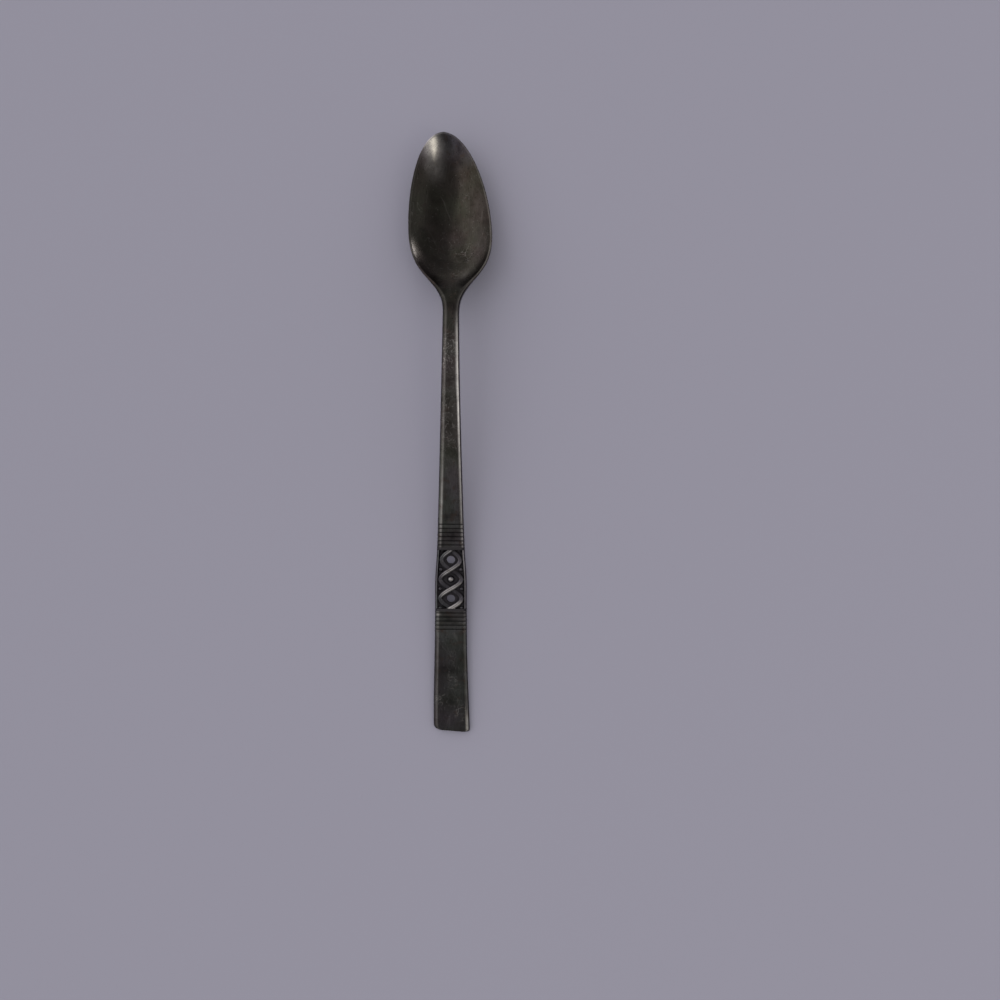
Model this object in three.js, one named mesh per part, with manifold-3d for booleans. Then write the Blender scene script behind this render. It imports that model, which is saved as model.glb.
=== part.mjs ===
// A long-handled teaspoon in silver plate, lying face up, divided at its own design lines.
// Millimetres, +Z up. The spoon lies along Y with the tip of the bowl towards +Y, and the origin is on
// the table, under the middle of the spoon's box.
import * as THREE from 'three';
import { mergeVertices } from 'three/addons/utils/BufferGeometryUtils.js';
import Module from 'manifold-3d';

const wasm = await Module();
wasm.setup();

// Lengths along the spoon, from the end of the handle to the tip of the bowl
const END_LENGTH = 31.8;
const PANEL_LENGTH = 20.4;
const STEM_LENGTH = 67.7;
const SHOULDER_LENGTH = 23.0;
const BOWL_LENGTH = 30.6;
const GROOVE_PITCH = 1.3;
const LOWER_GROOVES = 5;
const UPPER_GROOVES = 6;

// Widths across the spoon, how far the waist lies behind the neck joint, and slopes of the sides
const END_WIDTH = 11.5;
const LOWER_COLLAR_WIDTH = 10.2;
const PANEL_SWELL = 0.25;
const STEM_FOOT_WIDTH = 8.1;
const STEM_TAPER = -0.031;
const WAIST_WIDTH = 5.05;
const WAIST_TAPER = -0.012;
const WAIST_SETBACK = 4.5;
const NECK_WIDTH = 5.8;
const NECK_FLARE = 0.24;
const BOWL_WIDTH = 26.15;

// Curves of the bowl's outline: how far each end's tangent is held
const NECK_HOLD = 8.0;
const SHOULDER_HOLD = 14.4;
const FLANK_HOLD = 14.9;
const TIP_HOLD = 7.6;

// The bowl leans a little to the left of the handle's line, by this much at the tip
const BOWL_LEAN = 3.0;
const LEAN_POWER = 1.65;

// Heights of the back above the table, and its slopes
const END_SLOPE = 0.038;
const CREST_SETBACK = 12.5;
const CREST_HEIGHT = 11.1;
const NECK_HEIGHT = 10.3;
const NECK_SLOPE = -0.3;
const KEEL_FORWARD = 3.5;
const TIP_RISE = 0.75;

// Thickness of the handle, and heights and slopes of the bowl's rim
const END_THICKNESS = 1.7;
const COLLAR_THICKNESS = 2.0;
const CREST_THICKNESS = 2.9;
const NECK_THICKNESS = 2.8;
const RIM_HEIGHT = 7.5;
const RIM_FALL = -0.12;
const TIP_HEIGHT = 8.3;
const TIP_LIFT = 0.12;

// Section of the handle: a bevel that rounds over into the side, and rounded edges on the back.
// The rounding falls by a share of the handle's thickness.
const BEVEL_WIDTH = 1.15;
const BEVEL_DROP = 0.65;
const EDGE_WIDTH = 0.6;
const EDGE_SHARE = 0.3;
const BACK_EDGE = 0.35;

// Section of the bowl: narrow rounded rim, hollow face, round back
const RIM_WIDTH = 0.5;
const RIM_DROP = 0.1;
const RIM_ROUND = 0.25;
const RIM_EDGE = 0.8;
const BOWL_WALL = 1.3;
const HOLLOW_RUN = 10.0;
const BOWL_ROUND = 2.2;

// End of the handle: bent a little to the right and cut askew, with one corner rounder than the other
const END_SWAY = 0.45;
const END_ASKEW = 0.079;
const LEFT_CORNER = 1.4;
const RIGHT_CORNER = 0.7;

// Grooves of the reeded collars
const GROOVE_MOUTH = 0.66;
const GROOVE_FLOOR = 0.24;
const GROOVE_DEPTH = 0.22;

// Pierced panel: two strands woven into three eyes on a sunk ground
const BAR_LENGTH = 0.9;
const RAIL_WIDTH = 0.85;
const GROUND_THICKNESS = 0.9;
const EYES = 3;
const STRAND_WIDTH = 1.6;
const STRAND_HEIGHT = 1.2;
const STRAND_CENTRE = 1.15;
const WEAVE_LIFT = 0.28;
const HOLE_WIDTH = 2.6;
const HOLE_LENGTH = 2.4;
const BOSS_DIAMETER = 2.3;
const BEAD_DIAMETER = 1.5;

// Fineness of the facets
const END_STEPS = 5;
const STEM_STEPS = 24;
const PANEL_STEPS = 6;
const SHOULDER_STEPS = 18;
const BOWL_STEPS = 18;
const LAST_STATION = 0.96;
const EDGE_TURN = 0.8;
const BACK_POINTS = 15;
const HOLLOW_POINTS = 12;
const STRAND_STEPS = 16;
const STRAND_SIDES = 8;
const BEAD_SIDES = 10;
const HOLE_SIDES = 20;
const CUT_MARGIN = 1.0;
const HALVINGS = 40;
const SMALL = 1e-4;

// Stations along the spoon, measured from the end of the handle
const Y_END = 0;
const Y_LOWER = Y_END + END_LENGTH;
const Y_PANEL = Y_LOWER + LOWER_GROOVES * GROOVE_PITCH;
const Y_UPPER = Y_PANEL + PANEL_LENGTH;
const Y_STEM = Y_UPPER + UPPER_GROOVES * GROOVE_PITCH;
const Y_NECK = Y_STEM + STEM_LENGTH;
const Y_WAIST = Y_NECK - WAIST_SETBACK;
const Y_CREST = Y_NECK - CREST_SETBACK;
const Y_WIDEST = Y_NECK + SHOULDER_LENGTH;
const Y_KEEL = Y_WIDEST + KEEL_FORWARD;
const Y_TIP = Y_WIDEST + BOWL_LENGTH;

// Level of the table: the spoon rests on the keel of its bowl and on the lower corner of its end
const TABLE = -END_SLOPE * END_ASKEW * (END_WIDTH / 2 - RIGHT_CORNER + END_SWAY);

// A smooth curve through [y, value, slope] points; a slope that is left out follows the neighbours.
function smoothCurve(points) {
  const slopes = points.map(([y, value, slope], i) => {
    if (slope !== undefined) {
      return slope;
    }
    const [y0, value0] = points[Math.max(i - 1, 0)];
    const [y1, value1] = points[Math.min(i + 1, points.length - 1)];
    return (value1 - value0) / (y1 - y0);
  });
  return (y) => {
    let i = 0;
    while (i < points.length - 2 && y > points[i + 1][0]) {
      i += 1;
    }
    const [y0, value0] = points[i];
    const [y1, value1] = points[i + 1];
    const span = y1 - y0;
    const t = (y - y0) / span;
    const rise = t * t * (3 - 2 * t);
    const start = t * (1 - t) * (1 - t) * span * slopes[i];
    const end = t * t * (t - 1) * span * slopes[i + 1];
    return value0 + (value1 - value0) * rise + start + end;
  };
}

const handleTaper = smoothCurve([
  [Y_END, END_WIDTH / 2, 0],
  [Y_LOWER, LOWER_COLLAR_WIDTH / 2, 0],
  [Y_STEM, STEM_FOOT_WIDTH / 2, STEM_TAPER],
  [Y_WAIST, WAIST_WIDTH / 2, WAIST_TAPER],
  [Y_NECK, NECK_WIDTH / 2, NECK_FLARE],
]);

// Half-width of the handle at y; the sides of the panel swell a little
function handleHalf(y) {
  const along = THREE.MathUtils.clamp((y - Y_PANEL) / PANEL_LENGTH, 0, 1);
  return handleTaper(y) + PANEL_SWELL * Math.sin(Math.PI * along) ** 2;
}

const back = smoothCurve([
  [Y_END, 0, END_SLOPE],
  [Y_LOWER, END_SLOPE * END_LENGTH, END_SLOPE],
  [Y_CREST, CREST_HEIGHT, 0],
  [Y_NECK, NECK_HEIGHT, NECK_SLOPE],
  [Y_KEEL, TABLE, 0],
  [Y_TIP, TIP_HEIGHT - RIM_DROP - RIM_EDGE, TIP_RISE],
]);

const thickness = smoothCurve([
  [Y_END, END_THICKNESS],
  [Y_PANEL, COLLAR_THICKNESS],
  [Y_CREST, CREST_THICKNESS],
  [Y_NECK, NECK_THICKNESS],
]);

const rim = smoothCurve([
  [Y_NECK, NECK_HEIGHT + NECK_THICKNESS, NECK_SLOPE],
  [Y_WIDEST, RIM_HEIGHT, RIM_FALL],
  [Y_TIP, TIP_HEIGHT, TIP_LIFT],
]);

// Right half of the bowl's outline in plan: from the neck out to the widest chord, then round to the tip
const shoulderLine = new THREE.CubicBezierCurve(
  new THREE.Vector2(NECK_WIDTH / 2, Y_NECK),
  new THREE.Vector2(NECK_WIDTH / 2 + NECK_FLARE * NECK_HOLD, Y_NECK + NECK_HOLD),
  new THREE.Vector2(BOWL_WIDTH / 2, Y_WIDEST - SHOULDER_HOLD),
  new THREE.Vector2(BOWL_WIDTH / 2, Y_WIDEST),
);
const flankLine = new THREE.CubicBezierCurve(
  new THREE.Vector2(BOWL_WIDTH / 2, Y_WIDEST),
  new THREE.Vector2(BOWL_WIDTH / 2, Y_WIDEST + FLANK_HOLD),
  new THREE.Vector2(TIP_HOLD, Y_TIP),
  new THREE.Vector2(0, Y_TIP),
);

// Half-width of the bowl at y, and how much the slant of its outline stretches the rim sideways there
function bowlHalf(y) {
  const line = y < Y_WIDEST ? shoulderLine : flankLine;
  let low = 0;
  let high = 1;
  for (let i = 0; i < HALVINGS; i += 1) {
    const middle = (low + high) / 2;
    if (line.getPoint(middle).y < y) {
      low = middle;
    } else {
      high = middle;
    }
  }
  const tangent = line.getTangent(low);
  return { half: line.getPoint(low).x, stretch: 1 / Math.max(tangent.y, SMALL) };
}

// How far a rounded corner draws in the edge, at a distance from the end
function cornerInset(distance, radius) {
  const inside = Math.max(radius - distance, 0);
  return radius - Math.sqrt(radius * radius - inside * inside);
}

// 0 at the neck, 1 where the bowl has its full hollow
function hollowing(y) {
  return THREE.MathUtils.smoothstep(y, Y_NECK, Y_NECK + HOLLOW_RUN);
}

// Everything that shapes the section at y: its edges, heights, bevel or rim, and hollow
function sectionAt(y) {
  const bowl = y > Y_NECK ? bowlHalf(y) : null;
  const left = bowl ? bowl.half : handleHalf(y) - cornerInset(y - Y_END, LEFT_CORNER);
  const right = bowl ? bowl.half : handleHalf(y) - cornerInset(y - Y_END, RIGHT_CORNER);
  const lean = BOWL_LEAN * (Math.max(y - Y_NECK, 0) / (Y_TIP - Y_NECK)) ** LEAN_POWER;
  const sway = END_SWAY * Math.max(1 - (y - Y_END) / END_LENGTH, 0) ** 2;
  const ease = hollowing(y);
  const half = (left + right) / 2;
  const rimWidth = THREE.MathUtils.lerp(BEVEL_WIDTH, RIM_WIDTH, ease) * (bowl ? bowl.stretch : 1);
  const inner = Math.max(half - rimWidth, 0);
  const roundShare = THREE.MathUtils.lerp(EDGE_WIDTH / BEVEL_WIDTH, RIM_ROUND / RIM_WIDTH, ease);
  return {
    y,
    half,
    ease,
    inner,
    centre: (right - left) / 2 + sway - lean,
    drop: THREE.MathUtils.lerp(BEVEL_DROP, RIM_DROP, ease),
    edge: half - (half - inner) * roundShare,
  };
}

// How far the rounded edge of the face falls below the bevel or the rim, at a reach from the middle
function edgeFall(section, reach, y) {
  const share = THREE.MathUtils.clamp((reach - section.edge) / (section.half - section.edge), 0, 1);
  const fall = THREE.MathUtils.lerp(EDGE_SHARE * thickness(Math.min(y, Y_NECK)), RIM_ROUND, section.ease);
  return fall * (1 - Math.sqrt(1 - share * share));
}

// Height of the face at an offset x from the middle of the section
function faceHeight(section, x, y) {
  const reach = Math.abs(x);
  const top = y > Y_NECK ? rim(y) : back(y) + thickness(y);
  if (reach >= section.inner) {
    const bevel = section.drop * (reach - section.inner) / (section.half - section.inner);
    return top - bevel - edgeFall(section, reach, y);
  }
  const wall = THREE.MathUtils.lerp(NECK_THICKNESS, BOWL_WALL, section.ease);
  const depth = y > Y_NECK ? Math.max(top - back(y) - wall, 0) : 0;
  return top - depth * (1 - (reach / section.inner) ** BOWL_ROUND);
}

// Height of the back at an offset x: flat with rounded edges on the handle, round under the bowl
function backHeight(section, x, y) {
  const reach = Math.min(Math.abs(x), section.half);
  const middle = back(y);
  const past = Math.max(reach - section.half + BACK_EDGE, 0);
  const flat = middle + cornerInset(BACK_EDGE - past, BACK_EDGE);
  if (y <= Y_NECK) {
    return flat;
  }
  const rimSide = rim(y) - RIM_DROP - RIM_EDGE;
  const round = middle + (rimSide - middle) * (reach / section.half) ** BOWL_ROUND;
  return THREE.MathUtils.lerp(flat, round, section.ease);
}

// Gives each offset a place round its loop, so that loops with unlike numbers of points can be joined
function spread(offsets, from, to) {
  return offsets.map((offset, i) => ({ offset, place: from + (to - from) * i / offsets.length }));
}

// A loop round the spoon: along the back from left to right, then over the face from right to left
function sectionLoop(section, backOffsets, faceOffsets, cut = 0) {
  const askew = END_ASKEW * Math.max(1 - (section.y - Y_END) / END_LENGTH, 0);
  const pointAt = (offset, heightAt, lowered) => {
    const x = section.centre + offset;
    const y = section.y - askew * x;
    return new THREE.Vector3(x, y, heightAt(section, offset, y) - lowered);
  };
  return [
    ...backOffsets.map(({ offset, place }) => ({ point: pointAt(offset, backHeight, 0), place })),
    ...faceOffsets.map(({ offset, place }) => ({ point: pointAt(offset, faceHeight, cut), place })),
  ];
}

// Loop of the handle at y: three points round each edge of the back, and on each side of the face a bevel
// with a rounded edge
function handleLoop(y, cut = 0) {
  const section = sectionAt(y);
  const { half, inner, edge } = section;
  const round = half - BACK_EDGE * (1 - Math.SQRT1_2);
  const flat = half - BACK_EDGE;
  const turned = THREE.MathUtils.lerp(edge, half, EDGE_TURN);
  const backOffsets = spread([-half, -round, -flat, flat, round, half], 0, 0.5);
  const faceOffsets = spread([half, turned, edge, inner, -inner, -edge, -turned, -half], 0.5, 1);
  return sectionLoop(section, backOffsets, faceOffsets, cut);
}

// Loop of the bowl at y: a round back, and a face with a rim and, away from the tip, a hollow
function bowlLoop(y) {
  const section = sectionAt(y);
  const { half, inner, edge } = section;
  const turned = THREE.MathUtils.lerp(edge, half, EDGE_TURN);
  const across = (reach, points) => stations(0, Math.PI, points - 1).map((turn) => reach * Math.cos(turn));
  const rimOffsets = [half, turned, edge];
  const mirrored = rimOffsets.map((offset) => -offset).reverse();
  const backOffsets = spread(across(-half, BACK_POINTS), 0, 0.5);
  const faceOffsets = spread([...rimOffsets, ...across(inner, HOLLOW_POINTS), ...mirrored], 0.5, 1);
  const rimPoints = rimOffsets.length;
  const ridge = { offset: 0, place: faceOffsets[rimPoints].place };
  const tipOffsets = [...faceOffsets.slice(0, rimPoints), ridge, ...faceOffsets.slice(-rimPoints)];
  return sectionLoop(section, backOffsets, inner > RIM_WIDTH / 2 ? faceOffsets : tipOffsets);
}

// A closed skin over a row of loops, with a flat fan over each open end. A loop of one point closes an end.
function loft(loops) {
  const positions = [];
  const indices = [];
  const starts = loops.map((loop) => {
    const start = positions.length / 3;
    loop.forEach(({ point }) => positions.push(point.x, point.y, point.z));
    return start;
  });
  for (let k = 0; k < loops.length - 1; k += 1) {
    const [a, b] = [loops[k], loops[k + 1]];
    const indexA = (i) => starts[k] + i % a.length;
    const indexB = (j) => starts[k + 1] + j % b.length;
    const placeAfter = (loop, i) => (i + 1 < loop.length ? loop[i + 1].place : 1);
    let [i, j] = [0, 0];
    while (i < a.length || j < b.length) {
      const stepsA = i < a.length && (j >= b.length || placeAfter(a, i) <= placeAfter(b, j));
      if (stepsA) {
        if (a.length > 1) {
          indices.push(indexA(i), indexB(j), indexA(i + 1));
        }
        i += 1;
      } else {
        if (b.length > 1) {
          indices.push(indexA(i), indexB(j), indexB(j + 1));
        }
        j += 1;
      }
    }
  }
  const addCap = (loop, start, turned) => {
    if (loop.length < 3) {
      return;
    }
    const middle = loop.reduce((sum, { point }) => sum.add(point), new THREE.Vector3());
    middle.divideScalar(loop.length);
    const hub = positions.length / 3;
    positions.push(middle.x, middle.y, middle.z);
    loop.forEach((_, i) => {
      const [from, to] = [start + i, start + (i + 1) % loop.length];
      indices.push(hub, turned ? to : from, turned ? from : to);
    });
  };
  addCap(loops[0], starts[0], false);
  addCap(loops.at(-1), starts.at(-1), true);
  const geometry = new THREE.BufferGeometry();
  geometry.setAttribute('position', new THREE.Float32BufferAttribute(positions, 3));
  geometry.setIndex(indices);
  return geometry;
}

// Evenly spaced stations, both ends included
function stations(from, to, steps) {
  return Array.from({ length: steps + 1 }, (_, i) => THREE.MathUtils.lerp(from, to, i / steps));
}

function solidOf(geometry) {
  const bare = geometry.clone();
  bare.deleteAttribute('normal');
  bare.deleteAttribute('uv');
  const merged = mergeVertices(bare, SMALL);
  const mesh = new wasm.Mesh({
    numProp: 3,
    vertProperties: new Float32Array(merged.attributes.position.array),
    triVerts: new Uint32Array(merged.index.array),
  });
  return new wasm.Manifold(mesh);
}

function geometryOf(solid) {
  const mesh = solid.getMesh();
  const geometry = new THREE.BufferGeometry();
  geometry.setAttribute('position', new THREE.Float32BufferAttribute(mesh.vertProperties, 3));
  geometry.setIndex(Array.from(mesh.triVerts));
  return geometry;
}

// The flat end, with rounded corners
function handleEnd() {
  const corner = Math.max(LEFT_CORNER, RIGHT_CORNER);
  const cornerStations = stations(0, Math.PI / 2, END_STEPS).map((turn) => corner * (1 - Math.cos(turn)));
  const flare = stations(corner, Y_LOWER, END_STEPS).slice(1);
  return loft([...cornerStations, ...flare].map((y) => handleLoop(y)));
}

// A collar with grooves across its face and bevels
function reededCollar(from, grooves) {
  const loops = [handleLoop(from)];
  for (let i = 0; i < grooves; i += 1) {
    const middle = from + (i + 0.5) * GROOVE_PITCH;
    loops.push(
      handleLoop(middle - GROOVE_MOUTH / 2),
      handleLoop(middle - GROOVE_FLOOR / 2, GROOVE_DEPTH),
      handleLoop(middle + GROOVE_FLOOR / 2, GROOVE_DEPTH),
      handleLoop(middle + GROOVE_MOUTH / 2),
    );
  }
  loops.push(handleLoop(from + grooves * GROOVE_PITCH));
  return loft(loops);
}

// The plain tapering stem
function stem() {
  return loft(stations(Y_STEM, Y_NECK, STEM_STEPS).map((y) => handleLoop(y)));
}

// The bowl, from the neck joint to the tip
function bowl() {
  const shoulder = stations(0, 1, SHOULDER_STEPS).map((t) => shoulderLine.getPoint(t).y);
  const flank = stations(0, LAST_STATION, BOWL_STEPS).slice(1).map((t) => flankLine.getPoint(t).y);
  const along = [...shoulder, ...flank, Y_KEEL].sort((a, b) => a - b);
  const tip = new THREE.Vector3(-BOWL_LEAN, Y_TIP, TIP_HEIGHT - RIM_DROP - (RIM_ROUND + RIM_EDGE) / 2);
  return loft([...along.map(bowlLoop), [{ point: tip, place: 0 }]]);
}

// Half-width of the panel's sunk field at y
function fieldHalf(y) {
  return handleHalf(y) - RAIL_WIDTH;
}

const Y_FIELD = Y_PANEL + BAR_LENGTH;
const EYE_LENGTH = (PANEL_LENGTH - 2 * BAR_LENGTH) / EYES;

// One strand of the weave; the other is its mirror image, over where this one is under
function strand(side) {
  const overrun = STRAND_WIDTH / 2;
  const from = Y_FIELD - overrun;
  const to = Y_FIELD + EYES * EYE_LENGTH + overrun;
  const centreAt = (y) => {
    const turn = Math.PI * (y - Y_FIELD) / EYE_LENGTH;
    const swing = fieldHalf(y) - STRAND_WIDTH / 2;
    const lift = side * WEAVE_LIFT * Math.cos(turn);
    return new THREE.Vector3(side * swing * Math.sin(turn), y, back(y) + STRAND_CENTRE + lift);
  };
  const loops = stations(from, to, EYES * STRAND_STEPS).map((y) => {
    const centre = centreAt(y);
    const course = centreAt(y + SMALL).sub(centre).setZ(0).normalize();
    return Array.from({ length: STRAND_SIDES }, (_, i) => {
      const turn = 2 * Math.PI * (i + 0.5) / STRAND_SIDES;
      const across = Math.cos(turn) * STRAND_WIDTH / 2;
      const up = Math.sin(turn) * STRAND_HEIGHT / 2;
      const offset = new THREE.Vector3(course.y * across, -course.x * across, up);
      return { point: centre.clone().add(offset), place: i / STRAND_SIDES };
    });
  });
  return loft(loops);
}

function ball(diameter, x, y) {
  const geometry = new THREE.SphereGeometry(diameter / 2, BEAD_SIDES, BEAD_SIDES);
  return geometry.translate(x, y, back(y) + GROUND_THICKNESS);
}

// The openwork panel: a framed, sunk ground with woven strands, pierced eyes, a boss and beads
function piercedPanel() {
  const blank = solidOf(loft(stations(Y_PANEL, Y_UPPER, PANEL_STEPS).map((y) => handleLoop(y))));
  const fieldStations = stations(Y_FIELD, Y_FIELD + EYES * EYE_LENGTH, PANEL_STEPS);
  const recess = solidOf(loft(fieldStations.map((y) => {
    const half = fieldHalf(y);
    const floor = back(y) + GROUND_THICKNESS;
    const roof = back(y) + thickness(y) + CUT_MARGIN;
    return [[-half, floor], [half, floor], [half, roof], [-half, roof]].map(([x, z], i) => ({
      point: new THREE.Vector3(x, y, z),
      place: i / 4,
    }));
  })));

  const hole = new THREE.Shape().absellipse(0, 0, HOLE_WIDTH / 2, HOLE_LENGTH / 2, 0, 2 * Math.PI);
  const holeDepth = GROUND_THICKNESS + 2 * CUT_MARGIN;
  const pierce = (y) => {
    const options = { depth: holeDepth, bevelEnabled: false, curveSegments: HOLE_SIDES };
    return solidOf(new THREE.ExtrudeGeometry(hole, options).translate(0, y, back(y) - CUT_MARGIN));
  };

  let relief = solidOf(strand(1)).add(solidOf(strand(-1)));
  let frame = blank.subtract(recess);
  for (let eye = 0; eye < EYES; eye += 1) {
    const y = Y_FIELD + (eye + 0.5) * EYE_LENGTH;
    if (eye % 2 === 0) {
      frame = frame.subtract(pierce(y));
    } else {
      relief = relief.add(solidOf(ball(BOSS_DIAMETER, 0, y)));
    }
  }
  for (let crossing = 0; crossing <= EYES; crossing += 1) {
    const y = Y_FIELD + crossing * EYE_LENGTH;
    const x = fieldHalf(y) - BEAD_DIAMETER / 2;
    relief = relief.add(solidOf(ball(BEAD_DIAMETER, x, y))).add(solidOf(ball(BEAD_DIAMETER, -x, y)));
  }
  return geometryOf(frame.add(relief.intersect(blank)));
}

const spoon = new THREE.Group();

function addPiece(name, geometry, color, roughness) {
  const material = new THREE.MeshStandardMaterial({ color, roughness, metalness: 1 });
  const mesh = new THREE.Mesh(geometry, material);
  mesh.name = name;
  spoon.add(mesh);
}

addPiece('handle_end', handleEnd(), 0x4b4742, 0.38);
addPiece('lower_reeded_collar', reededCollar(Y_LOWER, LOWER_GROOVES), 0x454039, 0.42);
addPiece('pierced_panel', piercedPanel(), 0x3c3a3a, 0.4);
addPiece('upper_reeded_collar', reededCollar(Y_UPPER, UPPER_GROOVES), 0x454039, 0.42);
addPiece('stem', stem(), 0x4b4742, 0.36);
addPiece('bowl', bowl(), 0x47433c, 0.3);

const box = new THREE.Box3().setFromObject(spoon);
const middle = box.getCenter(new THREE.Vector3());
spoon.position.set(-middle.x, -middle.y, -box.min.z);

export default spoon;
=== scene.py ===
"""A long-handled teaspoon in tarnished silver plate, lying face up on a pale floor."""

import math

import bpy
import numpy as np
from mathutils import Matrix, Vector


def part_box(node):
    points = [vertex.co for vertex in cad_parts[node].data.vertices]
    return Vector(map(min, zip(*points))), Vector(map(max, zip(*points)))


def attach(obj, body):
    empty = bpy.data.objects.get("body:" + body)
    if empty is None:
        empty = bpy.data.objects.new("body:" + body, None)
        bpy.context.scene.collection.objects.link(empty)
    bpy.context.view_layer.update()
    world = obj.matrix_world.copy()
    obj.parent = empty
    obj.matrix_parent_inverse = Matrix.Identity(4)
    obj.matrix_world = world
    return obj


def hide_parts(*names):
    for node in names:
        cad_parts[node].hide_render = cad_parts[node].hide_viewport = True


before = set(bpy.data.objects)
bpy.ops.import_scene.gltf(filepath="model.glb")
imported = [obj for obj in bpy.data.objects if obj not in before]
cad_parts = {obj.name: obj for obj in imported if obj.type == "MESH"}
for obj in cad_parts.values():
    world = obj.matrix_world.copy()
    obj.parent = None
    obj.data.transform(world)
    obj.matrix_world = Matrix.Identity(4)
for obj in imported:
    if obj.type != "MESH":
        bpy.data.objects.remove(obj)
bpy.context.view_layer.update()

MM = 0.001

# Lengths along the spoon in millimetres, from the end of the handle to the tip of the bowl
END_LENGTH = 31.8
PANEL_LENGTH = 20.4
STEM_LENGTH = 67.7
SHOULDER_LENGTH = 23.0
BOWL_LENGTH = 30.6
GROOVE_PITCH = 1.3
LOWER_GROOVES = 5
UPPER_GROOVES = 6

# Widths across the spoon, how far the waist lies behind the neck joint, and slopes of the sides
END_WIDTH = 11.5
LOWER_COLLAR_WIDTH = 10.2
PANEL_SWELL = 0.25
STEM_FOOT_WIDTH = 8.1
STEM_TAPER = -0.031
WAIST_WIDTH = 5.05
WAIST_TAPER = -0.012
WAIST_SETBACK = 4.5
NECK_WIDTH = 5.8
NECK_FLARE = 0.24
BOWL_WIDTH = 26.1

# Curves of the bowl's outline: how far each end's tangent is held
NECK_HOLD = 8.0
SHOULDER_HOLD = 14.4
FLANK_HOLD = 14.9
TIP_HOLD = 7.6

# The bowl leans a little to the left of the handle's line, by this much at the tip
BOWL_LEAN = 3.0
LEAN_POWER = 1.65

# Heights of the back above the table, and its slopes
END_SLOPE = 0.038
CREST_SETBACK = 12.5
CREST_HEIGHT = 11.1
NECK_HEIGHT = 10.3
NECK_SLOPE = -0.3
KEEL_FORWARD = 3.5
TIP_RISE = 0.75

# Thickness of the handle, and heights and slopes of the bowl's rim
END_THICKNESS = 1.7
COLLAR_THICKNESS = 2.0
CREST_THICKNESS = 2.9
NECK_THICKNESS = 2.8
RIM_HEIGHT = 7.5
RIM_FALL = -0.12
TIP_HEIGHT = 8.3
TIP_LIFT = 0.12

# Section of the handle and of the bowl
BEVEL_WIDTH = 1.15
BEVEL_DROP = 0.65
EDGE_WIDTH = 0.6
EDGE_SHARE = 0.3
BACK_EDGE = 0.35
RIM_WIDTH = 0.5
RIM_DROP = 0.1
RIM_ROUND = 0.25
RIM_EDGE = 0.8
BOWL_WALL = 1.3
HOLLOW_RUN = 10.0
BOWL_ROUND = 2.2
CREASE = 0.1

# End of the handle: bent a little to the right and cut askew, with one corner rounder than the other
END_SWAY = 0.45
END_ASKEW = 0.079
LEFT_CORNER = 1.4
RIGHT_CORNER = 0.7

# Grooves of the reeded collars
GROOVE_MOUTH = 0.7
GROOVE_DEPTH = 0.22

# Pierced panel: two strands woven into three eyes on a sunk ground
BAR_LENGTH = 0.9
RAIL_WIDTH = 0.85
GROUND_THICKNESS = 0.9
EYES = 3
STRAND_WIDTH = 1.6
STRAND_HEIGHT = 1.2
STRAND_CENTRE = 1.15
STRAND_LINE = 0.1
WEAVE_LIFT = 0.28
HOLE_WIDTH = 2.6
HOLE_LENGTH = 2.4
HOLE_EDGE = 0.15
BOSS_DIAMETER = 2.3
BEAD_DIAMETER = 1.5
RECESS_DRAFT = 0.12

# Fineness of the meshes: rows along the spoon, points across it, and steps of the curves
CORNER_ROWS = 20
END_ROWS = 40
GROOVE_ROWS = 20
STEM_ROWS = 160
PANEL_ROWS = 281
FLAT_POINTS = 12
PANEL_POINTS = 90
OUTLINE_STEPS = 3000
STRAND_STEPS = 200

# Rays of half the bowl's outline, points of each on the rim and in the hollow, how these spread,
# and how far behind the tip the rays gather
BOWL_RAYS = 110
LAND_POINTS = 14
HOLLOW_POINTS = 56
HOLLOW_SPREAD = 1.2
TIP_FOCUS = 9.0

# Steps of a search by halving, the least width to divide by, and the angle from which an edge is sharp
HALVINGS = 40
SMALLEST = 1e-4
SHARP_ANGLE = math.radians(50)

# Distances in from the edge at which the handle's points lie: close together on the bevel's two edges
EDGE_DISTANCES = [
    0.0, 0.004, 0.016, 0.04, 0.07, 0.11, 0.16, 0.22, 0.29, 0.37, 0.45, 0.53, 0.6, 0.7, 0.8, 0.9,
    1.0, 1.07, 1.11, 1.15, 1.19, 1.23, 1.3, 1.4, 1.6,
]

# Stations along the spoon, measured from the end of the handle
Y_END = 0.0
Y_LOWER = Y_END + END_LENGTH
Y_PANEL = Y_LOWER + LOWER_GROOVES * GROOVE_PITCH
Y_UPPER = Y_PANEL + PANEL_LENGTH
Y_STEM = Y_UPPER + UPPER_GROOVES * GROOVE_PITCH
Y_NECK = Y_STEM + STEM_LENGTH
Y_WAIST = Y_NECK - WAIST_SETBACK
Y_CREST = Y_NECK - CREST_SETBACK
Y_WIDEST = Y_NECK + SHOULDER_LENGTH
Y_KEEL = Y_WIDEST + KEEL_FORWARD
Y_TIP = Y_WIDEST + BOWL_LENGTH
Y_FIELD = Y_PANEL + BAR_LENGTH
EYE_LENGTH = (PANEL_LENGTH - 2 * BAR_LENGTH) / EYES
TABLE = -END_SLOPE * END_ASKEW * (END_WIDTH / 2 - RIGHT_CORNER + END_SWAY)

# Where the handle's line, the neck joint and the table lie in the frame
stem_low, stem_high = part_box("stem")
ORIGIN = np.array([
    (stem_low.x + stem_high.x) / 2,
    stem_high.y - Y_NECK * MM,
    -TABLE * MM,
])


# Curves
def smoothstep(value, low, high):
    """Ease from 0 to 1 while the value goes from low to high."""
    t = np.clip((value - low) / (high - low), 0, 1)
    return t * t * (3 - 2 * t)


def smooth_max(a, b, width):
    """The larger of two heights, with the crease between them rounded over about width."""
    return (a + b + np.sqrt((a - b) ** 2 + width ** 2)) / 2


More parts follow.
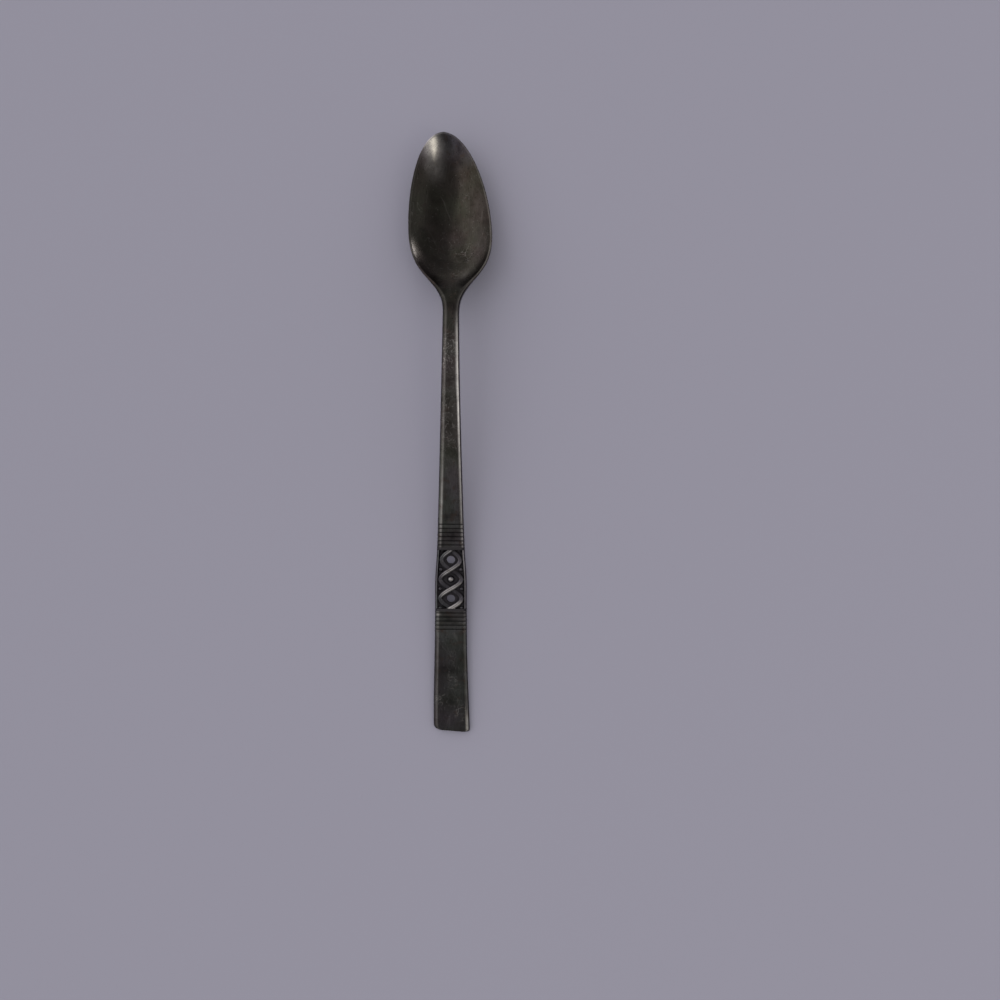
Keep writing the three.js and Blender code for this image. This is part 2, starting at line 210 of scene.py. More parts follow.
def smooth_min(a, b, width):
    """The smaller of two heights, rounded in the same way."""
    return (a + b - np.sqrt((a - b) ** 2 + width ** 2)) / 2


def corner_inset(distance, radius):
    """How far a rounded corner draws in the edge, at a distance from the end."""
    inside = np.clip(radius - distance, 0, radius)
    return radius - np.sqrt(radius ** 2 - inside ** 2)


def smooth_curve(points):
    """A smooth curve through (y, value, slope) points; a slope of None follows the neighbours."""
    ys = np.array([point[0] for point in points])
    values = np.array([point[1] for point in points])
    slopes = []
    for i, (_, _, slope) in enumerate(points):
        before = max(i - 1, 0)
        after = min(i + 1, len(points) - 1)
        mean = (values[after] - values[before]) / (ys[after] - ys[before])
        slopes.append(mean if slope is None else slope)
    slopes = np.array(slopes)

    def curve(y):
        i = np.clip(np.searchsorted(ys, y) - 1, 0, len(ys) - 2)
        span = ys[i + 1] - ys[i]
        t = (y - ys[i]) / span
        rise = t * t * (3 - 2 * t)
        start = t * (1 - t) ** 2 * span * slopes[i]
        end = t * t * (t - 1) * span * slopes[i + 1]
        return values[i] + (values[i + 1] - values[i]) * rise + start + end

    return curve


def bezier(points, t):
    """Points of a cubic curve, and its tangents, at the parameters t."""
    p0, p1, p2, p3 = (np.array(point)[None, :] for point in points)
    t = t[:, None]
    s = 1 - t
    place = s ** 3 * p0 + 3 * s * s * t * p1 + 3 * s * t * t * p2 + t ** 3 * p3
    tangent = s * s * (p1 - p0) + 2 * s * t * (p2 - p1) + t * t * (p3 - p2)
    return place, tangent / np.linalg.norm(tangent, axis=1, keepdims=True)


# Lines along the spoon
handle_taper = smooth_curve([
    (Y_END, END_WIDTH / 2, 0),
    (Y_LOWER, LOWER_COLLAR_WIDTH / 2, 0),
    (Y_STEM, STEM_FOOT_WIDTH / 2, STEM_TAPER),
    (Y_WAIST, WAIST_WIDTH / 2, WAIST_TAPER),
    (Y_NECK, NECK_WIDTH / 2, NECK_FLARE),
])

back_line = smooth_curve([
    (Y_END, 0, END_SLOPE),
    (Y_LOWER, END_SLOPE * END_LENGTH, END_SLOPE),
    (Y_CREST, CREST_HEIGHT, 0),
    (Y_NECK, NECK_HEIGHT, NECK_SLOPE),
    (Y_KEEL, TABLE, 0),
    (Y_TIP, TIP_HEIGHT - RIM_DROP - RIM_EDGE, TIP_RISE),
])

handle_thickness = smooth_curve([
    (Y_END, END_THICKNESS, None),
    (Y_PANEL, COLLAR_THICKNESS, None),
    (Y_CREST, CREST_THICKNESS, None),
    (Y_NECK, NECK_THICKNESS, None),
])

rim_line = smooth_curve([
    (Y_NECK, NECK_HEIGHT + NECK_THICKNESS, NECK_SLOPE),
    (Y_WIDEST, RIM_HEIGHT, RIM_FALL),
    (Y_TIP, TIP_HEIGHT, TIP_LIFT),
])

# Control points of the two curves on the right of the bowl's outline, in x and y
SHOULDER_LINE = [
    (NECK_WIDTH / 2, Y_NECK),
    (NECK_WIDTH / 2 + NECK_FLARE * NECK_HOLD, Y_NECK + NECK_HOLD),
    (BOWL_WIDTH / 2, Y_WIDEST - SHOULDER_HOLD),
    (BOWL_WIDTH / 2, Y_WIDEST),
]
FLANK_LINE = [
    (BOWL_WIDTH / 2, Y_WIDEST),
    (BOWL_WIDTH / 2, Y_WIDEST + FLANK_HOLD),
    (TIP_HOLD, Y_TIP),
    (0.0, Y_TIP),
]


def bowl_outline(steps):
    """Half-widths of the bowl, their y, and how much the outline's slant stretches the rim sideways."""
    t = np.linspace(0, 1, steps)
    shoulder, shoulder_tangent = bezier(SHOULDER_LINE, t)
    flank, flank_tangent = bezier(FLANK_LINE, t)
    place = np.vstack([shoulder, flank[1:]])
    tangent = np.vstack([shoulder_tangent, flank_tangent[1:]])
    return place[:, 0], place[:, 1], 1 / np.maximum(tangent[:, 1], SMALLEST)


OUTLINE_HALF, OUTLINE_Y, OUTLINE_STRETCH = bowl_outline(OUTLINE_STEPS)


# Sections and heights
def handle_half(y):
    """Half-width of the handle at y; the sides of the panel swell a little."""
    along = np.clip((y - Y_PANEL) / PANEL_LENGTH, 0, 1)
    return handle_taper(y) + PANEL_SWELL * np.sin(np.pi * along) ** 2


def section(y):
    """Half-width, middle, bevel or rim, start of the rounded edge, and share of the full hollow at y."""
    y = np.asarray(y, float)
    in_bowl = y > Y_NECK
    handle_y = np.clip(y, Y_END, Y_NECK)
    left = handle_half(handle_y) - corner_inset(handle_y - Y_END, LEFT_CORNER)
    right = handle_half(handle_y) - corner_inset(handle_y - Y_END, RIGHT_CORNER)
    bowl_half = np.interp(y, OUTLINE_Y, OUTLINE_HALF)
    half = np.where(in_bowl, bowl_half, (left + right) / 2)
    stretch = np.where(in_bowl, np.interp(y, OUTLINE_Y, OUTLINE_STRETCH), 1)
    along = np.clip((y - Y_NECK) / (Y_TIP - Y_NECK), 0, 1)
    lean = BOWL_LEAN * along ** LEAN_POWER
    ease = smoothstep(y, Y_NECK, Y_NECK + HOLLOW_RUN)
    sway = END_SWAY * np.clip(1 - (y - Y_END) / END_LENGTH, 0, None) ** 2
    rim_width = (BEVEL_WIDTH + (RIM_WIDTH - BEVEL_WIDTH) * ease) * stretch
    inner = np.maximum(half - rim_width, 0)
    round_share = EDGE_WIDTH / BEVEL_WIDTH + (RIM_ROUND / RIM_WIDTH - EDGE_WIDTH / BEVEL_WIDTH) * ease
    return {
        "half": half,
        "middle": np.where(in_bowl, 0, (right - left) / 2) + sway - lean,
        "inner": inner,
        "edge": half - (half - inner) * round_share,
        "ease": ease,
    }


def land_height(y):
    """Height of the flat of the handle's face, and of the bowl's rim."""
    handle_y = np.minimum(y, Y_NECK)
    return np.where(y > Y_NECK, rim_line(y), back_line(handle_y) + handle_thickness(handle_y))


def groove_cut(y):
    """Depth of the collars' grooves at y."""
    cut = np.zeros_like(y)
    for start, grooves in ((Y_LOWER, LOWER_GROOVES), (Y_UPPER, UPPER_GROOVES)):
        inside = (y > start) & (y < start + grooves * GROOVE_PITCH)
        from_middle = (y - start) % GROOVE_PITCH - GROOVE_PITCH / 2
        share = np.clip(np.abs(from_middle) / (GROOVE_MOUTH / 2), 0, 1)
        cut += np.where(inside, GROOVE_DEPTH * (1 + np.cos(np.pi * share)) / 2, 0)
    return cut


def edge_fall(shape, reach, y):
    """How far the rounded edge of the face falls below the bevel or the rim."""
    width = np.maximum(shape["half"] - shape["edge"], SMALLEST)
    handle_drop = EDGE_SHARE * handle_thickness(np.minimum(y, Y_NECK))
    drop = handle_drop + (RIM_ROUND - handle_drop) * shape["ease"]
    share = np.clip((reach - shape["edge"]) / width, 0, 1)
    return drop * (1 - np.sqrt(1 - share ** 2))


def face_height(x, y, line_y):
    """Height of the face at offset x in the section at y; the lines along the spoon are read at line_y."""
    shape = section(y)
    reach = np.abs(x)
    land = land_height(line_y)
    inner = np.maximum(shape["inner"], SMALLEST)
    drop = BEVEL_DROP + (RIM_DROP - BEVEL_DROP) * shape["ease"]
    bevel_width = np.maximum(shape["half"] - shape["inner"], SMALLEST)
    bevel = land - drop * (reach - shape["inner"]) / bevel_width
    wall = NECK_THICKNESS + (BOWL_WALL - NECK_THICKNESS) * shape["ease"]
    depth = np.maximum(land - back_line(line_y) - wall, 0)
    depth = np.where(y > Y_NECK, depth, 0)
    hollow = land - depth * (1 - (reach / inner) ** BOWL_ROUND)
    hollow = np.where(shape["inner"] > 0, hollow, land)
    face = smooth_min(bevel, hollow, CREASE)
    return face - edge_fall(shape, reach, y) - groove_cut(y)


def back_height(x, y, line_y):
    """Height of the back: flat with rounded edges on the handle, round under the bowl."""
    shape = section(y)
    reach = np.minimum(np.abs(x), shape["half"])
    middle = back_line(line_y)
    flat = middle + corner_inset(shape["half"] - reach, BACK_EDGE)
    rim_side = rim_line(np.maximum(y, Y_NECK)) - RIM_DROP - RIM_EDGE
    share = reach / np.maximum(shape["half"], SMALLEST)
    rounded = middle + (rim_side - middle) * share ** BOWL_ROUND
    return flat + (rounded - flat) * shape["ease"]


# Relief of the pierced panel
def field_half(y):
    """Half-width of the panel's sunk field."""
    return handle_half(y) - RAIL_WIDTH


def strand_line(side):
    """Points along the middle of one strand; the other is its mirror image, over where this is under."""
    overrun = STRAND_WIDTH / 2
    y = np.linspace(Y_FIELD - overrun, Y_FIELD + EYES * EYE_LENGTH + overrun, STRAND_STEPS * EYES)
    turn = np.pi * (y - Y_FIELD) / EYE_LENGTH
    x = side * (field_half(y) - STRAND_WIDTH / 2) * np.sin(turn)
    z = back_line(y) + STRAND_CENTRE + side * WEAVE_LIFT * np.cos(turn)
    return x, y, z


def strand_height(x, y, line):
    """Height of a half-round strand over a row of points, with a fine line along its crown."""
    line_x, line_y, line_z = line
    near = np.abs(line_y - y) < STRAND_WIDTH
    gap = np.hypot(x[:, None] - line_x[near][None, :], y - line_y[near][None, :])
    nearest = gap.argmin(axis=1)
    distance = gap.min(axis=1)
    crown = np.sqrt(np.clip(1 - (2 * distance / STRAND_WIDTH) ** 2, 0, 1)) * STRAND_HEIGHT / 2
    fine_line = STRAND_LINE * np.exp(-(distance / STRAND_LINE) ** 2 / 2)
    inside = distance < STRAND_WIDTH / 2
    return np.where(inside, line_z[near][nearest] + crown - fine_line, 0)


def dome_height(x, y, centre_x, centre_y, diameter):
    """Height above the ground of a round boss or bead."""
    distance = np.hypot(x - centre_x, y - centre_y)
    return np.sqrt(np.clip((diameter / 2) ** 2 - distance ** 2, 0, None))


def eye_centre(eye):
    """The y of the middle of an eye."""
    return Y_FIELD + (eye + 0.5) * EYE_LENGTH


# Every other eye is pierced, and those between have a boss
HOLE_CENTRES = [eye_centre(eye) for eye in range(0, EYES, 2)]
BOSS_CENTRES = [eye_centre(eye) for eye in range(1, EYES, 2)]


def hole_share(x, y, centre):
    """1 on the edge of a pierced eye, less inside it."""
    return np.hypot(2 * x / HOLE_WIDTH, 2 * (y - centre) / HOLE_LENGTH)


def panel_height(x, y):
    """Face of the panel, for a grid of points whose rows have one y each."""
    face = face_height(x, y, y)
    ground = back_line(y) + GROUND_THICKNESS
    relief = ground.copy()
    for side in (1, -1):
        line = strand_line(side)
        rows = [strand_height(x[i], y[i, 0], line) for i in range(len(x))]
        relief = smooth_max(relief, np.array(rows), CREASE)
    for crossing in range(EYES + 1):
        bead_y = Y_FIELD + crossing * EYE_LENGTH
        bead_x = field_half(bead_y) - BEAD_DIAMETER / 2
        for side in (1, -1):
            bead = ground + dome_height(x, y, side * bead_x, bead_y, BEAD_DIAMETER)
            relief = smooth_max(relief, bead, CREASE / 2)
    for boss_y in BOSS_CENTRES:
        boss = ground + dome_height(x, y, 0, boss_y, BOSS_DIAMETER)
        relief = smooth_max(relief, boss, CREASE / 2)
    for hole_y in HOLE_CENTRES:
        past = (hole_share(x, y, hole_y) - 1) * HOLE_WIDTH / 2
        relief = relief - corner_inset(np.maximum(past, 0), HOLE_EDGE)
    sides = smoothstep(np.abs(x) - field_half(y), -RECESS_DRAFT, RECESS_DRAFT)
    from_bar = np.minimum(y - Y_FIELD, Y_FIELD + EYES * EYE_LENGTH - y)
    bars = 1 - smoothstep(from_bar, -RECESS_DRAFT, RECESS_DRAFT)
    border = np.maximum(sides, bars)
    return smooth_min(relief, face, CREASE / 2) * (1 - border) + face * border


# Soft patches of use: x from the middle line, y, half-width, half-length and strength
KEEL_WEAR = [(-BOWL_LEAN / 4, Y_KEEL, 5.0, 8.0, 0.3)]
FACE_WEAR_AND_HIGHLIGHT = [
    # The first two are partly real wear of the tip and partly a painted highlight: brighter metal under
    # the key lamp's highlight and down its tail
    (-3.9, Y_TIP - 3.2, 2.4, 2.9, 0.6),
    (-3.8, Y_TIP - 8.5, 2.3, 4.0, 0.13),
    (4.4, Y_NECK + 8.0, 1.6, 2.6, 0.05),
    (-4.0, Y_PANEL - 0.8, 0.8, 0.5, 0.12),
]
DARK_PATCHES = [
    (1.2, Y_NECK + 12.6, 3.2, 2.2, 0.6),
    (3.4, Y_WIDEST + 14.5, 2.6, 4.0, 0.35),
]
SCUFFS = [
    (0.0, Y_NECK - 15.0, 4.0, 6.0, 0.9),
    (0.0, Y_NECK - 36.0, 4.0, 10.0, 0.5),
    (-3.0, Y_END + 9.5, 1.8, 2.2, 1.0),
    (2.8, Y_END + 6.5, 1.6, 2.8, 0.9),
    (0.6, Y_END + 19.0, 1.3, 8.0, 0.55),
    (4.5, Y_WIDEST - 6.0, 2.6, 3.2, 0.55),
    (1.7, Y_NECK + 9.3, 1.6, 1.8, 0.4),
    (5.6, Y_WIDEST + 12.0, 1.5, 2.0, 0.25),
]

# How bare the bevel on each side is rubbed, along the spoon; this is partly a painted highlight, much
# stronger on the right bevel, where the light falls
RIGHT_RUB_AND_SHEEN = [
    (Y_END, 0.3),
    (Y_END + 4, 0.24),
    (Y_END + 8, 0.05),
    (Y_PANEL, 0.03),
    (Y_STEM + 9, 0.24),
    (Y_STEM + 23, 0.36),
    (Y_STEM + 34, 0.64),
    (Y_NECK - 13, 0.5),
    (Y_NECK - 3, 0.05),
    (Y_NECK + 4, 0.06),
    (Y_NECK + 16, 0.18),
    (Y_TIP, 0.08),
]
LEFT_RUB_AND_SHEEN = [
    (Y_END, 0.05),
    (Y_UPPER, 0.07),
    (Y_STEM + 7, 0.22),
    (Y_STEM + 18, 0.08),
    (Y_NECK - 12, 0.055),
    (Y_NECK - 3, 0.03),
    (Y_NECK + 4, 0.02),
    (Y_TIP, 0.04),
]

# Start, peak and stop of the right bevel's rubbed line, partly a painted highlight, as shares of the bevel
# from its inner edge.
# The line is broad by the neck and at the end, and slim between them.
SLIM_LINE = (-0.05, 0.53, 0.78)
BROAD_LINE = (-0.35, 0.5, 0.75)
NECK_RUN = (Y_NECK - 31, Y_NECK - 25)
END_RUN = (Y_END + 6, Y_END + 10)

# The left bevel's rubbed line, partly a painted highlight, comes in over the first shares and loses most
# of itself over the second
LEFT_RISE = (-0.4, -0.15)
LEFT_FALL = (0.05, 0.35)
LEFT_LOSS = 0.8

# A faint painted sheen beside the right bevel, about the middle of the stem
BEVEL_SHEEN = 0.02
BEVEL_SHEEN_REACH = (-2.2, 0.0)
BEVEL_SHEEN_Y = Y_NECK - 28.2
BEVEL_SHEEN_LENGTH = 16.0

# A painted highlight: brighter metal just inside the left lip of the bowl
LIP_HIGHLIGHT = 0.1
LIP_INSET = 0.8
LIP_Y = Y_WIDEST - 6.0
LIP_WIDTH = 0.7
LIP_LENGTH = 3.0

# Painted dark reflection on the left of the bowl, up to a border that slants to the right towards the tip
DARK_REFLECTION_BORDER = 0.5
DARK_REFLECTION_SLANT = 0.2
DARK_REFLECTION_FADE = (-3.0, 1.2)
DARK_REFLECTION_START = (Y_NECK + 5, Y_NECK + 14)
DARK_REFLECTION_STOP = (Y_TIP - 12, Y_TIP - 2)

# Dark film on the end of the handle, thinner on the right
END_FILM_LEFT = 0.48
END_FILM_RIGHT = 0.22
END_FILM_TURN = (-3.0, 2.0)
END_FILM_STOP = (Y_LOWER - 6, Y_LOWER)

# Soot in the grooves and on the panel, and rubbing on its strands.
# The ranges are heights, as shares from the panel's ground up to the face of the handle.
GROOVE_SOOT = 0.4
BAR_SOOT = 0.95
FIELD_SOOT = (0.05, 0.7)
STRAND_WEAR = 0.44
STRAND_RUB = (0.7, 1.05)


def blob(x, y, width, length):
    """A soft round patch about the origin."""
    return np.exp(-(x / width) ** 2 - (y / length) ** 2)


def patches(x, y, places):
    """All the soft patches of one kind together."""
    total = np.zeros(len(x))
    for patch_x, patch_y, width, length, strength in places:
        total += strength * blob(x - patch_x, y - patch_y, width, length)
    return total


def bevel_rub_and_sheen(x, y, shape):
    """How far the bevels and the shoulders' rim are brightened, partly rubbed bare and partly a painted
    highlight, most on the right where the light falls, along the stem; with a painted sheen beside the
    right bevel.
    """
    share = (np.abs(x) - shape["inner"]) / np.maximum(shape["half"] - shape["inner"], SMALLEST)
    broad = smoothstep(y, *NECK_RUN) + 1 - smoothstep(y, *END_RUN)
    start, peak, stop = (slim + (wide - slim) * broad for slim, wide in zip(SLIM_LINE, BROAD_LINE))
    right_line = smoothstep(share, start, peak) * (1 - smoothstep(share, peak, stop))
    left_line = smoothstep(share, *LEFT_RISE) * (1 - LEFT_LOSS * smoothstep(share, *LEFT_FALL))
    right_rub_and_sheen = np.interp(y, *zip(*RIGHT_RUB_AND_SHEEN))
    left_rub_and_sheen = np.interp(y, *zip(*LEFT_RUB_AND_SHEEN))
    sheen = BEVEL_SHEEN * smoothstep(share, *BEVEL_SHEEN_REACH) * blob(0, y - BEVEL_SHEEN_Y, 1, BEVEL_SHEEN_LENGTH)
    return np.where(x > 0, right_line * right_rub_and_sheen + sheen, left_line * left_rub_and_sheen)


def use_marks(x, y, soot):
    """Marks on the face: bare metal with painted highlights, soot in the recesses, dark film with a
    painted dark reflection on the left of the bowl, and scuffs.
    """
    shape = section(y)
    # Rubbed metal, with painted highlights on the bevels, near the tip and inside the left lip
    lip = LIP_HIGHLIGHT * blob(x + shape["half"] - LIP_INSET, y - LIP_Y, LIP_WIDTH, LIP_LENGTH)
    wear_and_sheen = np.clip(bevel_rub_and_sheen(x, y, shape) + patches(x, y, FACE_WEAR_AND_HIGHLIGHT) + lip, 0, 1)
    # Painted dark reflection over the left of the bowl
    border = DARK_REFLECTION_BORDER + DARK_REFLECTION_SLANT * np.maximum(y - Y_WIDEST, 0)
    bowl_dark_reflection = 1 - smoothstep(x - border, *DARK_REFLECTION_FADE)
    bowl_dark_reflection *= smoothstep(y, *DARK_REFLECTION_START) * (1 - smoothstep(y, *DARK_REFLECTION_STOP))
    end_film = END_FILM_LEFT + (END_FILM_RIGHT - END_FILM_LEFT) * smoothstep(x, *END_FILM_TURN)
    end_film *= 1 - smoothstep(y, *END_FILM_STOP)
    scuff = np.clip(patches(x, y, SCUFFS), 0, 1)
    return {
        "wear_and_sheen": wear_and_sheen * (1 - soot),
        "soot": soot,
        "film": bowl_dark_reflection + end_film + patches(x, y, DARK_PATCHES),
        "scuff": scuff * (1 - soot),
    }


# Meshes
def handle_grid(stations, middle_points):
    """Offsets and y of a grid over part of the handle, one row for each station."""
    edge = np.array(EDGE_DISTANCES)
    rows = []
    for half in section(stations)["half"]:
        right = half - edge
        middle = np.linspace(-right[-1], right[-1], middle_points + 2)[1:-1]
        rows.append(np.concatenate([-right, middle, right[::-1]]))
    offsets = np.array(rows)
    return offsets, np.repeat(stations[:, None], offsets.shape[1], axis=1)


def grid_index(grid):
    """A number for each point of a grid."""
    return np.arange(grid.size).reshape(grid.shape)


def grid_quads(index):
    """Quads of a grid of point numbers, anticlockwise from above where rows run along +Y."""
    corners = [index[:-1, :-1], index[:-1, 1:], index[1:, 1:], index[1:, :-1]]
    return np.stack([corner.ravel() for corner in corners], axis=1)


def used_points(quads):
    """The points that the quads use, and the quads numbered anew over those points alone."""
    used = np.unique(quads)
    return used, np.searchsorted(used, quads)


def boundary_edges(quads):
    """Directed edges of the quads that no neighbour shares."""
    edges = np.concatenate([quads[:, [k, (k + 1) % 4]] for k in range(4)])
    edges = edges[edges[:, 0] != edges[:, 1]]
    keys = {(a, b) for a, b in edges.tolist()}
    return [(a, b) for a, b in edges.tolist() if (b, a) not in keys]


def add_solid(name, plan, quads, face, back, marks):
    """A closed solid between a face and a back over the same plan; marks gives the use of its face."""
    count = len(plan)
    top = np.column_stack([plan, face])
    bottom = np.column_stack([plan, back])
    places = np.vstack([top, bottom]) * MM + ORIGIN
    walls = [(a, a + count, b + count, b) for a, b in boundary_edges(quads)]
    faces = []
    for quad in np.vstack([quads, quads[:, ::-1] + count]).tolist() + walls:
        corners = list(dict.fromkeys(quad))
        if len(corners) > 2:
            faces.append(corners)
    mesh = bpy.data.meshes.new(name)
    mesh.from_pydata(places.tolist(), [], faces)
    for mark, face_values in marks.items():
        back_values = patches(*plan.T, KEEL_WEAR) if mark == "wear_and_sheen" else np.zeros(count)
        values = np.concatenate([face_values, back_values]).astype(np.float32)
        mesh.attributes.new(mark, "FLOAT", "POINT").data.foreach_set("value", values)
    mesh.shade_smooth()
    mesh.set_sharp_from_angle(angle=SHARP_ANGLE)
    mesh.validate()
    piece = bpy.data.objects.new(name, mesh)
    bpy.context.scene.collection.objects.link(piece)
    return piece


def askew_plan(offsets, y):
    """Plan of a handle grid: the end of the handle is cut askew."""
    askew = END_ASKEW * np.clip(1 - (y - Y_END) / END_LENGTH, 0, None)
    x = section(y)["middle"] + offsets
    return x, y - askew * x


def handle_piece(name, stations):
    """A plain or grooved length of the handle."""
    offsets, y = handle_grid(stations, FLAT_POINTS)
    quads = grid_quads(grid_index(offsets))
    offsets, y = offsets.ravel(), y.ravel()
    x, turned_y = askew_plan(offsets, y)
    face = face_height(offsets, y, turned_y)
    back = back_height(offsets, y, turned_y)
    soot = GROOVE_SOOT * (groove_cut(y) / GROOVE_DEPTH) ** 2
    marks = use_marks(offsets, y, soot)
    return add_solid(name, np.column_stack([x, turned_y]), quads, face, back, marks)


def panel_marks(x, y, face):
    """Marks of use on the panel: black ground and bars, and strands rubbed on their crowns."""
    ground = back_line(y) + GROUND_THICKNESS
    rise = (face - ground) / (land_height(y) - ground)
    field = np.abs(x) < field_half(y)
    bars = np.minimum(y - Y_PANEL, Y_UPPER - y) < BAR_LENGTH
    soot = np.where(field, 1 - smoothstep(rise, *FIELD_SOOT), 0)
    soot = np.where(bars, BAR_SOOT, soot)
    marks = use_marks(x, y, soot)
    marks["wear_and_sheen"] = np.where(field, STRAND_WEAR * smoothstep(rise, *STRAND_RUB), marks["wear_and_sheen"])
    return marks


def panel_piece(name):
    """The openwork panel: a fine grid with the cells of the pierced eyes taken out."""
    x, y = handle_grid(np.linspace(Y_PANEL, Y_UPPER, PANEL_ROWS), PANEL_POINTS)
    quads = grid_quads(grid_index(x))
    face = panel_height(x, y).ravel()
    x, y = x.ravel(), y.ravel()

    # Points round each eye move onto its edge
    shares = [hole_share(x, y, centre) for centre in HOLE_CENTRES]
    nearest = np.argmin(shares, axis=0)
    share = np.min(shares, axis=0)
    inside = share < 1
    cut = inside[quads].any(axis=1)
    rim = np.zeros(len(x), bool)
    rim[quads[cut]] = True
    rim &= ~inside
    centre = np.array(HOLE_CENTRES)[nearest[rim]]
    x[rim] /= share[rim]
    y[rim] = centre + (y[rim] - centre) / share[rim]
    face[rim] -= HOLE_EDGE / 2

    used, kept_quads = used_points(quads[~cut])
    x, y, face = x[used], y[used], face[used]
    back = back_height(x, y, y)
    return add_solid(name, np.column_stack([x, y]), kept_quads, face, back, panel_marks(x, y, face))


def rim_shares(half, y, spine_y):
    """How far along each ray, from the outline to the middle line, the rim ends: found by halving."""
    low, high = np.zeros(len(y)), np.ones(len(y))
    for _ in range(HALVINGS):
        share = (low + high) / 2
        ray_y = y + (spine_y - y) * share
        on_rim = half * (1 - share) >= section(ray_y)["inner"]
        low, high = np.where(on_rim, share, low), np.where(on_rim, high, share)
    return low


def bowl_piece(name):
    """The bowl, over rays that run from its outline in to its middle line and gather near the tip."""
    half, y, _ = bowl_outline(BOWL_RAYS)
    spine_y = np.interp(y, [Y_NECK, Y_WIDEST, Y_TIP], [Y_NECK, Y_WIDEST, Y_TIP - TIP_FOCUS])
    rim = rim_shares(half, y, spine_y)[:, None]
    land = 1 - np.cos(np.linspace(0, np.pi / 2, LAND_POINTS))
    hollow = np.linspace(0, 1, HOLLOW_POINTS + 1)[1:] ** HOLLOW_SPREAD
    shares = np.hstack([rim * land, rim + (1 - rim) * hollow])
    right_x = half[:, None] * (1 - shares)
    right_y = y[:, None] + (spine_y - y)[:, None] * shares

    # The left half mirrors the right, and shares its points on the middle line
    offsets = np.vstack([right_x, -right_x[-2::-1]])
    along = np.vstack([right_y, right_y[-2::-1]])
    index = grid_index(offsets)
    index[len(y):, -1] = index[len(y) - 2::-1, -1]
    used, quads = used_points(grid_quads(index)[:, ::-1])
    offsets, along = offsets.ravel()[used], along.ravel()[used]

    plan = np.column_stack([section(along)["middle"] + offsets, along])
    face = face_height(offsets, along, along)
    back = back_height(offsets, along, along)
    marks = use_marks(offsets, along, np.zeros(len(used)))
    return add_solid(name, plan, quads, face, back, marks)


# Shader nodes
def add_node(tree, kind, inputs, **settings):
    """A node with its settings; each input is a plain value or another node's output."""
    node = tree.nodes.new(kind)
    for name, value in settings.items():
        setattr(node, name, value)
    for name, value in inputs.items():
        if isinstance(value, bpy.types.NodeSocket):
            tree.links.new(value, node.inputs[name])
        else:
            node.inputs[name].default_value = value
    return node


def noise(tree, vector, scale, detail, roughness):
    inputs = {"Vector": vector, "Scale": scale, "Detail": detail, "Roughness": roughness}
    return add_node(tree, "ShaderNodeTexNoise", inputs).outputs["Fac"]


def band(tree, value, low, high, start=0.0, end=1.0):
    """Ease from start to end while the value goes from low to high."""
    inputs = {"Value": value, "From Min": low, "From Max": high, "To Min": start, "To Max": end}
    node = add_node(tree, "ShaderNodeMapRange", inputs, interpolation_type="SMOOTHSTEP")
    return node.outputs["Result"]


def calculate(tree, operation, *values):
    node = add_node(tree, "ShaderNodeMath", dict(enumerate(values)), operation=operation)
    return node.outputs["Value"]


def multiply(tree, a, b):
    return calculate(tree, "MULTIPLY", a, b)


def mix(tree, factor, a, b, blend="MIX"):
    inputs = {"Factor": factor, "A": a, "B": b}
    node = add_node(tree, "ShaderNodeMix", inputs, data_type="RGBA", blend_type=blend)
    return node.outputs["Result"]


def colour_ramp(tree, value, stops):
    node = add_node(tree, "ShaderNodeValToRGB", {"Fac": value})
    elements = node.color_ramp.elements
    while len(elements) < len(stops):
        elements.new(1.0)
    for element, (position, colour) in zip(elements, stops):
        element.position = position
        element.color = (*colour, 1)
    return node.outputs["Color"]


def stretched(tree, place, angle, across, along):
    """Coordinates drawn out along a direction turned from the spoon's length."""
    inputs = {"Vector": place, "Angle": angle}
    turned = add_node(tree, "ShaderNodeVectorRotate", inputs, rotation_type="Z_AXIS").outputs["Vector"]
    inputs = {"Vector": turned, "Scale": (across, along, across)}
    return add_node(tree, "ShaderNodeMapping", inputs).outputs["Vector"]


# Patterns in the silver: scale, detail and roughness of each noise
FILM_NOISE = (170.0, 7.0, 0.62)
STAIN_NOISE = (460.0, 5.0, 0.65)
TINT_NOISE = (75.0, 2.0, 0.5)
GRAIN_NOISE = (1.0, 3.0, 0.6)
NOISE_MIDDLE = 0.5

# Lines in the silver: angle, and frequency across and along; for scratches, the line's width too
GRAIN_RUN = (0.05, 2600.0, 150.0)
LONG_SCRATCHES = (0.12, 420.0, 9.0, 0.012)
SLANT_SCRATCHES = (-0.5, 330.0, 8.0, 0.01)
LINE_DETAIL = 1.0
LINE_ROUGHNESS = 0.4
BREAK_ROUGHNESS = 0.5
BREAK_RANGE = (0.48, 0.6)
SCRIBBLE_SCALE = 800.0
SCRIBBLE_WIDTH = 0.035
SCRIBBLE_RANGE = (0.42, 0.52)

# Spots in the silver: some of them are black pits, and some are bright specks
SPOT_SCALE = 2200.0
SPOT_EDGE = (0.34, 0.16)
PIT_CHANCE = (0.84, 0.88)
SPECK_CHANCE = (0.9, 0.94)

# How much each layer covers: a share, or a range of its pattern and the shares that it goes between
STAIN_COVER = (0.54, 0.7, 0.0, 0.75)
FILM_AND_DARK_REFLECTION_COVER = (0.0, 1.0, 0.0, 0.62)
GRAIN_COVER = (0.3, 0.75, 0.0, 0.3)
BARE_COVER = (0.66, 0.4, 0.7, 1.0)
SPECK_COVER = 0.06
SCRATCH_COVER = 0.02
SCRIBBLE_COVER = 0.2
PIT_COVER = 0.8

# Roughness, by the film's pattern, and what pits and soot add to it
FILM_GLOSS = (0.3, 0.7, 0.19, 0.3)
PIT_DULLNESS = 0.2
SOOT_DULLNESS = 0.3

